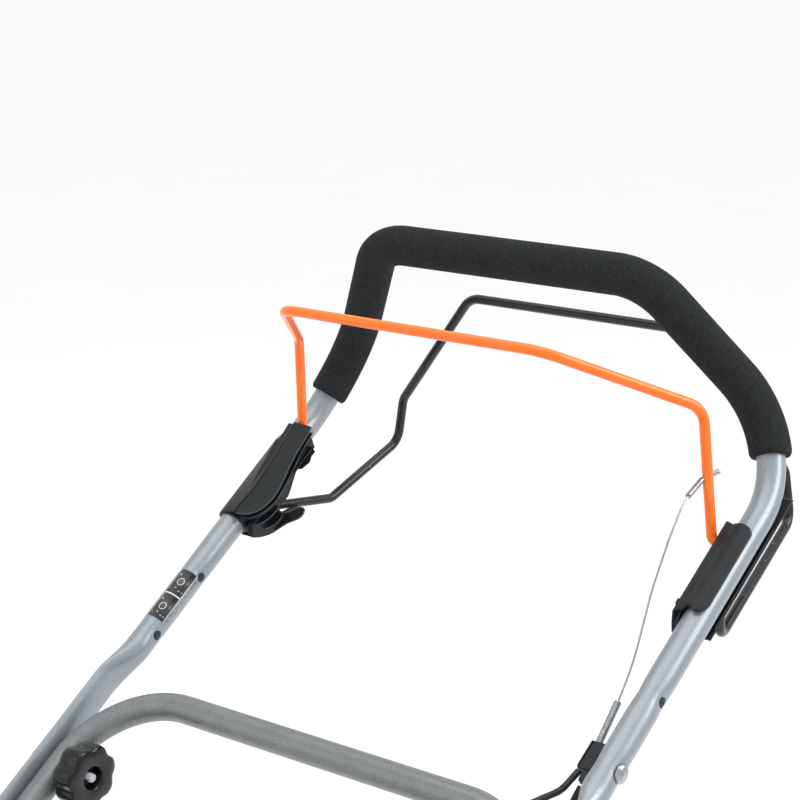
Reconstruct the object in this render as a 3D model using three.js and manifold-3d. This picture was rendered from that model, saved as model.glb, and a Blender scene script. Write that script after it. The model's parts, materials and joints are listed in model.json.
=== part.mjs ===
// Petrol reel mower with a folding tubular handle, in millimetres.
// +X is the operator's right, +Y is forward, +Z is up. The origin is on the ground, under the middle of the
// mower's bounding box. The handle is drawn in its own frame: x as above, y down along the legs (called s in
// the comments) and z square to the legs, up and forward (called h). That frame starts at the upper legs' top.
import * as THREE from "three";
import { mergeVertices } from "three/addons/utils/BufferGeometryUtils.js";
import Module from "manifold-3d";

const wasm = await Module();
wasm.setup();

// ---------------------------------------------------------------- driving dimensions
const GAP = 0.3; // between pieces that touch
const BEND_STEPS = 4; // rings round each bend of the handle tubes
const HANDLE = {
  slope: 34, // degrees above the ground
  topHeight: 860, // height of the upper legs' top corners
  half: 221, // legs' centrelines, from the middle
  tube: 11, // tube radius
  wall: 1.5,
  bend: 60, // centreline radius of every bend
  gripHalf: 127, // half the grip bar, between its corners
  gripBack: -11, // s of the grip bar
  gripRise: 150, // h of the grip bar
  end: 505, // s of the flattened ends
  flatFrom: 325,
  flatTo: 365,
  flatHalf: 5, // half thickness of the flattened ends
  flatX: 227.5, // their middle plane
};
const LOWER = { half: 210, top: 366, end: 1085, bend: 75, studs: [1000, 1060] };
const FOAM = { radius: 16.5, rightExtra: 25, leftExtra: 7 }; // extra length past the middle of each lower bend
const FOLD_S = 445; // s of the fold bolts
const CROSS_HOLES = [248, 311]; // s of the cross holes through the upper legs
const ROD = 4; // radius of both control bails
const STOP_BAIL = { s: 106, h: 4, inner: 199, corner: [194, 57, 94], bar: [121, 113, 192] };
const DRIVE_BAIL = { s: 150, h: -18.5, knee: [196, 11, -77], neck: [190, -11, -45], bar: [105, -56, 50] };
const FACE = { top: 97, end: 188, low: 15, rise: 0.198 }; // a lever bracket's front face leans away from the tube
const AXLE = { y: 0, z: 125, wheel: 125 };
const REEL = { y: 245, z: 120, radius: 74, shaft: 9, half: 240, blades: 5 };
const ROLLER = { y: 362, z: 32, radius: 32 };
const COUNTER = { y: 118, z: 178 }; // countershaft of the wheel drive
const CRANK = { y: 105, z: 316 };
const PLATE = { inner: 250, thick: 5, top: 238 };
const DECK = { rear: -95, front: 205, bottom: 226, top: 232 };
const BELT_X = 270; // middle plane of the belt drive; the chain runs at the same distance on the left

// ---------------------------------------------------------------- materials
const paint = (color, roughness, metalness) => new THREE.MeshStandardMaterial({ color, roughness, metalness });
const M = {
  silver: paint(0xa9b2b8, 0.38, 0.6),
  hammered: paint(0x8b9494, 0.5, 0.6),
  foam: paint(0x24282b, 0.95, 0),
  orange: paint(0xff6a1f, 0.3, 0),
  black: paint(0x1c1f21, 0.45, 0),
  gloss: paint(0x121416, 0.2, 0.1),
  zinc: paint(0xb4b9bd, 0.35, 0.9),
  steel: paint(0x8e9499, 0.35, 0.9),
  rubber: paint(0x1b1c1d, 0.9, 0),
  casting: paint(0x9a9c9d, 0.5, 0.8),
  heat: paint(0x6d6f70, 0.6, 0.8),
  enamel: paint(0x24282a, 0.5, 0.3),
};

// ---------------------------------------------------------------- geometry tools
const rad = THREE.MathUtils.degToRad;
const v3 = (x, y, z) => new THREE.Vector3(x, y, z);

// A line through samples that already hold its bends, so that a sweep has a ring at each sample.
class SampledPath extends THREE.Curve {
  constructor(points) {
    super();
    this.points = points;
  }
  getPoint(t) {
    const at = t * (this.points.length - 1);
    const i = Math.min(Math.floor(at + 1e-9), this.points.length - 2);
    return this.points[i].clone().lerp(this.points[i + 1], at - i);
  }
  getPointAt(u) {
    return this.getPoint(u);
  }
  getTangentAt(u) {
    const last = this.points.length - 1;
    const i = Math.round(u * last);
    const before = this.points[Math.max(i - 1, 0)];
    const after = this.points[Math.min(i + 1, last)];
    const here = this.points[i];
    const out = v3(0, 0, 0);
    if (i > 0) out.add(here.clone().sub(before).normalize());
    if (i < last) out.add(after.clone().sub(here).normalize());
    return out.normalize();
  }
}

// Straight runs between corners, with each corner rounded to the radius (or as far as its runs allow).
function bentLine(corners, radius, arcSteps = 5) {
  const points = [v3(...corners[0])];
  for (let i = 1; i < corners.length - 1; i++) {
    const corner = v3(...corners[i]);
    const back = v3(...corners[i - 1]).sub(corner);
    const on = v3(...corners[i + 1]).sub(corner);
    const half = back.angleTo(on) / 2;
    const r = Array.isArray(radius) ? radius[i - 1] : radius;
    const reach = Math.min(r / Math.tan(half), back.length() * 0.49, on.length() * 0.49);
    const start = corner.clone().addScaledVector(back.normalize(), reach);
    const end = corner.clone().addScaledVector(on.normalize(), reach);
    const centre = corner.clone().addScaledVector(back.clone().add(on).normalize(), reach / Math.cos(half));
    const from = start.sub(centre);
    const to = end.sub(centre);
    const turn = from.angleTo(to);
    for (let k = 0; k <= arcSteps; k++) {
      const a = (turn * k) / arcSteps;
      const p = from.clone().multiplyScalar(Math.sin(turn - a)).addScaledVector(to, Math.sin(a));
      points.push(p.divideScalar(Math.sin(turn)).add(centre));
    }
  }
  points.push(v3(...corners[corners.length - 1]));
  return points;
}

// The part of a sampled line between two distances along it.
function stretchOf(points, from, to) {
  const out = [];
  let run = 0;
  for (let i = 0; i < points.length - 1; i++) {
    const step = points[i].distanceTo(points[i + 1]);
    const at = (d) => points[i].clone().lerp(points[i + 1], (d - run) / step);
    if (run + step > from && !out.length) out.push(at(from));
    if (out.length && run + step < to) {
      if (run + step > from + 1) out.push(points[i + 1].clone());
    } else if (out.length) {
      out.push(at(to));
      return out;
    }
    run += step;
  }
  return out;
}

function circle(radius, sides, turn = 0) {
  const corners = [];
  for (let i = 0; i < sides; i++) {
    const a = turn + (2 * Math.PI * i) / sides;
    corners.push(new THREE.Vector2(radius * Math.cos(a), radius * Math.sin(a)));
  }
  return corners;
}

const disc = (radius, sides) => new THREE.Shape(circle(radius, sides));

function ring(outer, inner, sides, innerSides = sides) {
  const shape = disc(outer, sides);
  shape.holes.push(new THREE.Path(circle(inner, innerSides)));
  return shape;
}

const sweep = (section, points) =>
  new THREE.ExtrudeGeometry(section, {
    steps: points.length - 1,
    extrudePath: new SampledPath(points),
    bevelEnabled: false,
  });

// A flat outline in the y-z plane, made into a plate from x0 to x1.
const ACROSS = new THREE.Matrix4().makeBasis(v3(0, 1, 0), v3(0, 0, 1), v3(1, 0, 0));
function plate(shape, x0, x1) {
  const made = new THREE.ExtrudeGeometry(shape, { depth: Math.abs(x1 - x0), bevelEnabled: false });
  return made.applyMatrix4(ACROSS).translate(Math.min(x0, x1), 0, 0);
}

const outline = (...corners) => new THREE.Shape(corners.map(([y, z]) => new THREE.Vector2(y, z)));
const block = (x0, x1, y0, y1, z0, z1) =>
  new THREE.BoxGeometry(Math.abs(x1 - x0), y1 - y0, z1 - z0).translate((x0 + x1) / 2, (y0 + y1) / 2, (z0 + z1) / 2);
const rodAcross = (radius, x0, x1, y, z, sides = 16) =>
  new THREE.CylinderGeometry(radius, radius, Math.abs(x1 - x0), sides)
    .rotateZ(Math.PI / 2)
    .translate((x0 + x1) / 2, y, z);

// A solid of revolution about a line across the mower: the profile is a list of [radius, x].
const turnedAcross = (profile, y, z, sides = 20) =>
  new THREE.LatheGeometry(
    profile.map(([r, x]) => new THREE.Vector2(r, x)),
    sides,
  )
    .rotateZ(-Math.PI / 2)
    .translate(0, y, z);

function toSolid(geometry) {
  const bare = geometry.clone();
  for (const name of Object.keys(bare.attributes)) if (name !== "position") bare.deleteAttribute(name);
  const merged = mergeVertices(bare, 1e-4);
  const triVerts = new Uint32Array(merged.index.array);
  return new wasm.Manifold(
    new wasm.Mesh({ numProp: 3, vertProperties: merged.attributes.position.array, triVerts }),
  );
}

function toGeometry(solid) {
  const mesh = solid.getMesh();
  const made = new THREE.BufferGeometry();
  made.setAttribute("position", new THREE.BufferAttribute(mesh.vertProperties, 3));
  made.setIndex(new THREE.BufferAttribute(mesh.triVerts, 1));
  const flat = made.toNonIndexed();
  flat.computeVertexNormals();
  return flat;
}

const combine = (how, first, others) =>
  toGeometry(others.reduce((solid, other) => solid[how](toSolid(other)), toSolid(first)));
const cut = (first, ...others) => combine("subtract", first, others);
const join = (first, ...others) => combine("add", first, others);
const mirrored = (geometry) => toGeometry(toSolid(geometry).mirror([1, 0, 0]));

const mower = new THREE.Group();
const handle = new THREE.Group();
handle.rotation.x = -rad(HANDLE.slope);
const FOOT = { y: 12, z: 262, s: 1070 }; // where the handle meets its brackets
handle.position.set(
  0,
  FOOT.y - FOOT.s * Math.cos(rad(HANDLE.slope)),
  FOOT.z + FOOT.s * Math.sin(rad(HANDLE.slope)),
);
mower.add(handle);

function add(group, name, geometry, material) {
  const mesh = new THREE.Mesh(geometry, material);
  mesh.name = name;
  group.add(mesh);
  return mesh;
}

// ---------------------------------------------------------------- handle tubes
function handleLine() {
  const { half, end, gripHalf, gripBack, gripRise, bend } = HANDLE;
  const corners = [
    [half, end, 0],
    [half, 0, 0],
    [gripHalf, gripBack, gripRise],
    [-gripHalf, gripBack, gripRise],
    [-half, 0, 0],
    [-half, end, 0],
  ];
  return bentLine(corners, bend, BEND_STEPS);
}

// The tube's line has extra rings where its flattened ends begin and stop changing.
function tubeLine() {
  const line = handleLine();
  const { half, flatFrom, flatTo } = HANDLE;
  const rings = [flatTo, (flatFrom + flatTo) / 2, flatFrom];
  const right = rings.map((s) => v3(half, s, 0));
  const left = rings.reverse().map((s) => v3(-half, s, 0));
  return [line[0], ...right, ...line.slice(1, -1), ...left, line[line.length - 1]];
}

// The legs' ends are pressed flat, so that they lie against the outside of the lower handle.
function pressFlat(geometry) {
  const p = geometry.attributes.position;
  for (let i = 0; i < p.count; i++) {
    const along = (p.getY(i) - HANDLE.flatFrom) / (HANDLE.flatTo - HANDLE.flatFrom);
    const f = THREE.MathUtils.smoothstep(along, 0, 1);
    const side = Math.sign(p.getX(i));
    const off = Math.abs(p.getX(i)) - HANDLE.half;
    const squeeze = 1 - f * (1 - HANDLE.flatHalf / HANDLE.tube);
    p.setX(i, side * (HANDLE.half + f * (HANDLE.flatX - HANDLE.half) + off * squeeze));
    p.setZ(i, p.getZ(i) * (1 + 0.3 * f));
  }
  return geometry;
}

function crossHoles(radius, stations) {
  return stations.map((s) => rodAcross(radius, -260, 260, s, 0, 10));
}

const upperTube = pressFlat(sweep(ring(HANDLE.tube, HANDLE.tube - HANDLE.wall, 10, 5), tubeLine()));
add(
  handle,
  "upper_handle",
  cut(upperTube, ...crossHoles(4.3, [...CROSS_HOLES, FOLD_S])),
  M.silver,
);

// The foam covers the grip bar, both slanting sides and part of each lower bend.
function foamGrip() {
  const line = handleLine();
  const lengthOf = (points) => points.slice(1).reduce((sum, p, i) => sum + p.distanceTo(points[i]), 0);
  const straight = HANDLE.end - line[1].y;
  const bend = lengthOf(line.slice(1, BEND_STEPS + 2));
  const middle = straight + bend / 2;
  const points = stretchOf(line, middle - FOAM.rightExtra, lengthOf(line) - middle + FOAM.leftExtra);
  return sweep(ring(FOAM.radius, HANDLE.tube + 1.6, 10, 8), points);
}
add(handle, "foam_grip", foamGrip(), M.foam);

function lowerHandle() {
  const { half, end, top, bend } = LOWER;
  const line = bentLine([[half, end, 0], [half, top, 0], [-half, top, 0], [-half, end, 0]], bend, BEND_STEPS);
  const tube = sweep(ring(HANDLE.tube, HANDLE.tube - HANDLE.wall, 10, 5), line);
  return cut(tube, ...crossHoles(4.4, [FOLD_S, ...LOWER.studs]));
}
add(handle, "lower_handle", lowerHandle(), M.hammered);

// ---------------------------------------------------------------- fold joint: bolts and star knobs
function starKnob() {
  const lobes = 7;
  const steps = 4;
  const points = [];
  for (let i = 0; i < lobes * steps; i++) {
    const a = (2 * Math.PI * i) / (lobes * steps);
    const r = 23.4 + 1.8 * Math.cos(lobes * a);
    points.push([FOLD_S + r * Math.cos(a), r * Math.sin(a)]);
  }
  const face = HANDLE.half - 49;
  const body = plate(outline(...points), face, face + 17);
  const hub = rodAcross(10, face + 16, LOWER.half - HANDLE.tube - 1.5, FOLD_S, 0, 12);
  const recess = rodAcross(8, face - 1, face + 8, FOLD_S, 0, 16);
  const bore = rodAcross(4.3, face, face + 40, FOLD_S, 0, 16);
  return cut(join(body, hub), recess, bore);
}

function foldBolt() {
  const outer = HANDLE.flatX + HANDLE.flatHalf;
  const shank = rodAcross(4, HANDLE.half - 45, outer + GAP + 1, FOLD_S, 0, 12);
  const head = turnedAcross([[0, 0], [9, 0], [8, 2.4], [5, 4], [0, 4.6]], 0, 0, 12).translate(outer + GAP, FOLD_S, 0);
  return join(shank, head);
}
const knobShape = starKnob();
const boltShape = foldBolt();
add(handle, "fold_knob_right", knobShape, M.gloss);
add(handle, "fold_knob_left", mirrored(knobShape), M.gloss);
add(handle, "fold_bolt_right", boltShape, M.zinc);
add(handle, "fold_bolt_left", mirrored(boltShape), M.zinc);

// ---------------------------------------------------------------- control bails
function stopBail() {
  const { s, h, inner, corner, bar } = STOP_BAIL;
  const pin = HANDLE.half - HANDLE.tube - GAP;
  const right = [[pin, s, h], [inner, s, h], corner, bar];
  const left = [...right].reverse().map(([x, y, z]) => [-x, y, z]);
  return sweep(disc(ROD, 8), bentLine([...right, ...left], [4.6, 20, 27, 27, 20, 4.6], 2));
}
add(handle, "stop_bail", stopBail(), M.orange);

function driveBail() {
  const { s, h, knee, neck, bar } = DRIVE_BAIL;
  const mirror = ([x, y, z]) => [-x, y, z];
  const right = [[230, s, h], [214, s, h], [204, 100, -60], knee, neck, bar];
  const left = [mirror(bar), mirror(neck), mirror(knee), [-218, s + 7, -41], [-221, s, h], [-204, s, h]];
  return sweep(disc(ROD, 8), bentLine([...right, ...left], [6, 12, 16, 16, 22, 22, 16, 16, 10, 6], 2));
}
add(handle, "drive_bail", driveBail(), M.gloss);

// ---------------------------------------------------------------- plastic lever brackets
const alongLegBasis = new THREE.Matrix4().makeBasis(v3(0, 1, 0), v3(1, 0, 0), v3(0, 0, -1));
// A piece made lying along x is turned to lie along the right leg.
const alongLeg = (geometry) => geometry.applyMatrix4(alongLegBasis).translate(HANDLE.half, 0, 0);

// The front of a bracket: a face on the tube's inner side that leans forward to cover the stop bail's pin, and
// a round wing that joins it to the tube's outer side.
function bracketHood() {
  const { top, end, low, rise } = FACE;
  const section = new THREE.Shape(
    [[183, low - 3], [183, low], [206, low], [221, 14.5], [230, 11], [233.5, 5], [232, 0], [206, -6], [206, low - 3]].map(
      ([x, h]) => new THREE.Vector2(x, h),
    ),
  );
  const hood = new THREE.ExtrudeGeometry(section, { depth: end - top, bevelEnabled: false });
  // The extrusion runs along z, and is turned to run along the leg.
  hood.applyMatrix4(new THREE.Matrix4().makeBasis(v3(1, 0, 0), v3(0, 0, 1), v3(0, -1, 0)));
  const p = hood.attributes.position;
  for (let i = 0; i < p.count; i++) {
    const [x, h, s] = [p.getX(i), p.getZ(i), end + p.getY(i)];
    const share = h < low - 4 ? 0 : THREE.MathUtils.clamp((221 - x) / 15, 0, 1);
    p.setXYZ(i, x, s, h + share * rise * (end - s));
  }
  return hood;
}

const legBore = () => alongLeg(rodAcross(HANDLE.tube + GAP, 0, 300, 0, 0, 16));
const pinBores = () => [
  rodAcross(ROD + 0.4, 190, 215, STOP_BAIL.s, STOP_BAIL.h, 16),
  rodAcross(ROD + 0.4, 190, 240, DRIVE_BAIL.s, DRIVE_BAIL.h, 16),
];
const CHEEK = { inside: 203.8, face: HANDLE.half - HANDLE.tube - 0.5 };

// Right bracket: under the hood a cheek holds the stop bail's pin, a hook stands below it, and a lug under the
// tube's outer side holds the drive bail's pin.
function rightBracket() {
  const cheek = outline([86, -6], [86, 14], [97, 30], [188, 13], [192, 4], [190, -12], [104, -12], [96, -8]);
  const hook = outline([192, 4], [191, -9], [184, -17], [172, -25], [156, -31], [142, -40], [136, -41], [132, -39],
    [137, -31], [145, -26], [155, -17], [155, -11], [150, -7], [150, 4]);
  const core = outline([114, 27], [184, 13], [184, -10], [114, -8]);
  const pieces = [
    plate(cheek, CHEEK.inside, CHEEK.face),
    plate(hook, 201, 206.2),
    plate(core, 189, 206),
    block(203, 232, 176, 190, -25, -8),
    block(220.5, 231, 141, 182, -26, -11.6),
    block(208, 231, 84, 182, -13.9, -11.6),
  ];
  return cut(join(bracketHood(), ...pieces), legBore(), ...pinBores());
}

// Left bracket, drawn on the right and mirrored: a saddle over the tube's front, the same cheek, and a lug on
// the tube's inner side, clear of the drive bail's straight rod.
function leftBracket() {
  const saddle = alongLeg(rodAcross(HANDLE.tube + 3.4, 93, 177, 0, 0, 20));
  const cheek = outline([93, -12], [93, 9.5], [176, 9.5], [187, 2], [183, -12]);
  const pieces = [
    plate(cheek, CHEEK.inside, CHEEK.face),
    block(203, 212.5, 141, 180, -26, -8),
    block(208, 231, 40, 180, -13.9, -11.6),
  ];
  const shell = cut(saddle, block(224, 240, 80, 190, -20, 8), block(200, 240, 80, 190, -20, -11.5));
  return cut(join(shell, ...pieces), legBore(), ...pinBores());
}
add(handle, "lever_bracket_right", rightBracket(), M.black);
add(handle, "lever_bracket_left", mirrored(leftBracket()), M.black);

// ---------------------------------------------------------------- cables
// The brake wire hangs from the stop bail's left side and slides into a ferrule above the cable block.
const FERRULE = { mouth: [-198.6, 256.5, -0.5], end: [-200.6, 290.4, -4] };
function brakeWire() {
  const slack = [[-196, 90, 53], [-197, 118, 57], [-198, 144, 51], [-198, 182, 35], [-198.2, 229, 7], [-199, 263, -1.6]];
  const wire = sweep(disc(0.9, 6), bentLine(slack, 120, 3));
  const barrel = sweep(disc(2.4, 10), [v3(-196, 88.5, 52.8), v3(-196.8, 110, 55.9)]);
  return join(wire, barrel);
}
add(handle, "brake_wire", brakeWire(), M.zinc);
add(handle, "wire_ferrule", sweep(ring(3.6, 2.6, 12), [v3(...FERRULE.mouth), v3(...FERRULE.end)]), M.zinc);
const blockBody = join(block(-209.6, -196.2, 291, 315, -9, 0), block(-209, -201.2, 314, 324, -8, -2));
add(handle, "cable_block", blockBody, M.black);
const legBolt = turnedAcross([[0, 0], [8, 0], [7.4, 2.2], [4.5, 3.8], [0, 4.4]], 0, 0, 12);
add(handle, "leg_bolt", mirrored(legBolt.translate(HANDLE.half + HANDLE.tube + GAP, CROSS_HOLES[1], 0)), M.zinc);

// From the block both sheaths run down the lower handle's left leg to the engine and to the belt's idler.
const SHEATHS = [
  {
    name: "brake_sheath",
    path: [[-198, 316, -4], [-196, 336, -1], [-189, 352, 6], [-182, 372, 16], [-184, 396, 18], [-194.5, 420, 14.5],
      [-194.5, 955, 14.5], [-170, 1005, 30], [-112, 1015, 30]],
  },
  {
    name: "drive_sheath",
    path: [[-205, 326.2, -6], [-200, 340, -15], [-193, 356, -21], [-191, 400, -20], [-195, 460, -14], [-195, 700, -14],
      [-195, 960, -14], [-180, 990, -16], [-120, 1000, -16]],
  },
];
for (const { name, path } of SHEATHS) add(handle, name, sweep(disc(2.6, 6), bentLine(path, 30, 3)), M.black);

// ---------------------------------------------------------------- side plates, rods and deck
const outer = PLATE.inner + PLATE.thick;
function sidePlate() {
  const body = plate(
    outline([-62, 92], [-62, 226], [-50, PLATE.top], [205, PLATE.top], [300, 205], [392, 110], [396, 60],
      [384, 46], [290, 46], [250, 36], [165, 36], [150, 60], [60, 92]),
    PLATE.inner, outer,
  );
  const bore = (r, { y, z }) => rodAcross(r, 240, 265, y, z, 20);
  return cut(body, bore(8.5, AXLE), bore(REEL.shaft + 0.5, REEL), bore(8.5, COUNTER));
}
const sideShape = sidePlate();
add(mower, "side_plate_right", sideShape, M.enamel);
add(mower, "side_plate_left", mirrored(sideShape), M.enamel);

const between = PLATE.inner - GAP;
add(mower, "rear_tie_rod", rodAcross(9, -between, between, -40, 175), M.zinc);
add(mower, "front_tie_rod", rodAcross(8, -between, between, 376, 96), M.zinc);

function deck() {
  const { rear, front, bottom, top } = DECK;
  const sheet = block(-between, between, rear, front, bottom, top);
  const lip = (y0, y1) => block(-between, between, y0, y1, bottom - 20, bottom + 1);
  return join(sheet, lip(rear, rear + 4), lip(front - 4, front));
}
add(mower, "deck", deck(), M.enamel);

// A sheet-steel shield curves over the reel and throws the clippings forward.
function grassShield() {
  const corners = [];
  const [inner, thick, steps] = [REEL.radius + 9, 2, 12];
  const arc = (r, i) => {
    const a = rad(62 + (i * 110) / steps);
    return [REEL.y + r * Math.cos(a), REEL.z + r * Math.sin(a)];
  };
  for (let i = 0; i <= steps; i++) corners.push(arc(inner + thick, i));
  for (let i = steps; i >= 0; i--) corners.push(arc(inner, i));
  return plate(outline(...corners), -between, between);
}
add(mower, "grass_shield", grassShield(), M.enamel);

// ---------------------------------------------------------------- handle brackets on the deck
// Each bracket holds the lower handle on one pivot bolt, and a second bolt moves in a curved slot.
const footOf = (s) => {
  const slope = rad(HANDLE.slope);
  const along = s - FOOT.s;
  return { y: FOOT.y + along * Math.cos(slope), z: FOOT.z - along * Math.sin(slope) };
};
const PIVOT = footOf(LOWER.studs[1]);
const STOP = footOf(LOWER.studs[0]);
const HANDLE_LIFT = 14; // degrees that the slot allows
function handleBracket() {
  const [x0, x1] = [LOWER.half + HANDLE.tube + 0.8, LOWER.half + HANDLE.tube + 4.8];
  const floor = DECK.top + GAP;
  const wall = plate(
    outline([-84, floor], [34, floor], [34, 276], [12, 300], [-6, 328], [-36, 337], [-64, 322], [-84, 290]),
    x0, x1,
  );
  const foot = block(x1 - 1, x1 + 20, -84, 34, floor, floor + 4);
  const slot = [];
  const reach = Math.hypot(STOP.y - PIVOT.y, STOP.z - PIVOT.z);
  const start = Math.atan2(STOP.z - PIVOT.z, STOP.y - PIVOT.y);
  for (let i = 0; i <= 6; i++) {
    const a = start - rad((HANDLE_LIFT * i) / 6);
    slot.push(rodAcross(4.8, x0 - 1, x1 + 1, PIVOT.y + reach * Math.cos(a), PIVOT.z + reach * Math.sin(a), 12));
  }
  return cut(join(wall, foot), rodAcross(4.4, x0 - 1, x1 + 1, PIVOT.y, PIVOT.z, 16), join(...slot));
}
const bracketShape = handleBracket();
add(mower, "handle_bracket_right", bracketShape, M.black);
add(mower, "handle_bracket_left", mirrored(bracketShape), M.black);

function footBolt({ y, z }) {
  const [from, to] = [LOWER.half - HANDLE.tube - 6, LOWER.half + HANDLE.tube + 5.1];
  const nut = rodAcross(7.5, from, from + 5.6, y, z, 6);
  return join(rodAcross(4, from, to + 1, y, z, 12), nut, rodAcross(8, to, to + 4, y, z, 16));
}
const pivotBolt = footBolt(PIVOT);
const stopBolt = footBolt(STOP);
add(mower, "pivot_bolt_right", pivotBolt, M.zinc);
add(mower, "pivot_bolt_left", mirrored(pivotBolt), M.zinc);
add(mower, "stop_bolt_right", stopBolt, M.zinc);
add(mower, "stop_bolt_left", mirrored(stopBolt), M.zinc);

// ---------------------------------------------------------------- engine
const floorOfEngine = DECK.top + GAP;
const CYLINDER_LEAN = 35; // degrees above the level, towards the front
function rounded(width, depth, height, radius) {
  const [w, d] = [width / 2 - radius, depth / 2 - radius];
  const shape = new THREE.Shape();
  shape.absarc(w, d, radius, 0, Math.PI / 2);
  shape.absarc(-w, d, radius, Math.PI / 2, Math.PI);
  shape.absarc(-w, -d, radius, Math.PI, Math.PI * 1.5);
  shape.absarc(w, -d, radius, Math.PI * 1.5, Math.PI * 2);
  return new THREE.ExtrudeGeometry(shape, { depth: height, bevelEnabled: false, curveSegments: 3 });
}

function engineBlock() {
  const crankcase = rounded(142, 136, 148, 16).translate(0, 106, floorOfEngine + 6);
  const foot = block(-74, 74, 26, 188, floorOfEngine, floorOfEngine + 8);
  const boss = rodAcross(30, 70, 90, CRANK.y, CRANK.z, 20);
  const fins = [];
  const core = block(-38, 38, -34, 34, 60, 168);
  for (let i = 0; i < 8; i++) fins.push(block(-54, 54, -48, 48, 84 + i * 9, 88 + i * 9));
  const head = block(-46, 46, -42, 42, 158, 176);
  const cylinder = join(core, ...fins, head)
    .rotateX(-rad(90 - CYLINDER_LEAN))
    .translate(0, CRANK.y, CRANK.z);
  return cut(join(crankcase, foot, boss, cylinder), rodAcross(10, 60, 100, CRANK.y, CRANK.z, 16));
}
add(mower, "engine_block", engineBlock(), M.casting);

const blower = [-112, -76];
const bowl = rodAcross(80, ...blower, CRANK.y, CRANK.z, 28);
const shroud = block(...blower, CRANK.y, CRANK.y + 118, CRANK.z + 10, CRANK.z + 92);
const starterOpening = rodAcross(48, blower[0] - 1, blower[1] - 8, CRANK.y, CRANK.z, 24);
add(mower, "blower_housing", cut(join(bowl, shroud), starterOpening), M.enamel);

function recoilCover() {
  const dish = turnedAcross([[0, -132], [50, -132], [62, -126], [62, -112.3], [0, -112.3]], CRANK.y, CRANK.z, 24);
  const louvres = [];
  for (let i = 0; i < 10; i++) {
    louvres.push(
      block(-140, -124, -2.5, 2.5, 24, 44)
        .rotateX((i * Math.PI) / 5 + 0.1)
        .translate(0, CRANK.y, CRANK.z),
    );
  }
  return cut(dish, ...louvres);
}
add(mower, "recoil_cover", recoilCover(), M.orange);

const GRIP = { y: 60, z: 401 };
const gripBar = rodAcross(7, -140, -96, GRIP.y, GRIP.z, 12);
add(mower, "starter_grip", join(gripBar, block(-108, -100, GRIP.y - 4, GRIP.y + 4, GRIP.z - 14, GRIP.z)), M.gloss);

const TANK = { y: 62, z: 398, height: 66 };
const tankBody = rounded(150, 92, TANK.height, 22).translate(0, TANK.y, TANK.z);
const neck = new THREE.CylinderGeometry(17, 17, 12, 20).rotateX(Math.PI / 2).translate(-34, TANK.y, TANK.z + 66);
const strap = block(-30, 30, TANK.y - 20, TANK.y + 10, floorOfEngine + 150, TANK.z + 1);
add(mower, "fuel_tank", join(tankBody, neck, cut(strap, block(-60, 60, 0, 200, 300, floorOfEngine + 154.4))), M.gloss);
function fuelCap() {
  const cap = new THREE.CylinderGeometry(24, 24, 16, 14).rotateX(Math.PI / 2);
  const inside = new THREE.CylinderGeometry(17.4, 17.4, 12, 24).rotateX(Math.PI / 2).translate(0, 0, -5);
  return cut(cap, inside).translate(-34, TANK.y, TANK.z + TANK.height + 9.6);
}
add(mower, "fuel_cap", fuelCap(), M.black);

const filter = rounded(44, 86, 78, 12).translate(97, 200, 338);
add(mower, "air_cleaner", join(filter, block(54.4, 76, 196, 220, 366, 396)), M.gloss);
function muffler() {
  const box = rounded(52, 72, 70, 14).translate(-88, 262, 340);
  const slots = [];
  for (let i = 0; i < 4; i++) slots.push(block(-110, -66, 292, 300, 354 + i * 12, 358 + i * 12));
  return cut(box, ...slots);
}
add(mower, "muffler", muffler(), M.heat);

const axisOut = (d, side) => {
  const lean = rad(CYLINDER_LEAN);
  return [CRANK.y + d * Math.cos(lean) - side * Math.sin(lean), CRANK.z + d * Math.sin(lean) + side * Math.cos(lean)];
};
function plugLead() {
  const boot = sweep(disc(9, 12), [v3(0, ...axisOut(176.4, 0)), v3(0, ...axisOut(206, 0))]);
  const path = [v3(0, ...axisOut(200, 4)), v3(-20, 262, 460), v3(-60, 236, 455), v3(-94, 200, 430), v3(-94, 200, 408.8)];
  return join(boot, sweep(disc(3.5, 8), bentLine(path.map((p) => p.toArray()), 20, 3)));
}
add(mower, "plug_lead", plugLead(), M.rubber);

const LEVER = { y: 60, z: 350, x: 71.3 };
const arm = block(LEVER.x, LEVER.x + 3, LEVER.y - 5, LEVER.y + 5, LEVER.z, LEVER.z + 62);
const eyeOfLever = rodAcross(10, LEVER.x, LEVER.x + 3, LEVER.y, LEVER.z, 16);
const thumb = block(LEVER.x, LEVER.x + 14, LEVER.y - 8, LEVER.y + 8, LEVER.z + 30, LEVER.z + 46);
add(mower, "throttle_lever", cut(join(arm, eyeOfLever, thumb), block(70, 90, 0, 99, 397, 430)), M.orange);

// ---------------------------------------------------------------- belt drive on the right
const CRANK_PULLEY = 32;
const COUNTER_PULLEY = 55;
const vGroove = (r, x, half) => [[0, x - half], [r + 3, x - half], [r + 3, x - half + 2], [r - 6, x - 2.5],
  [r - 6, x + 2.5], [r + 3, x + half - 2], [r + 3, x + half], [0, x + half]];
function crankPulley() {
  const wheel = turnedAcross(vGroove(CRANK_PULLEY, BELT_X, 8), CRANK.y, CRANK.z, 16);
  return join(wheel, rodAcross(9.5, 78, BELT_X + 12, CRANK.y, CRANK.z, 16));
}
add(mower, "crank_pulley", crankPulley(), M.steel);

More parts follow.
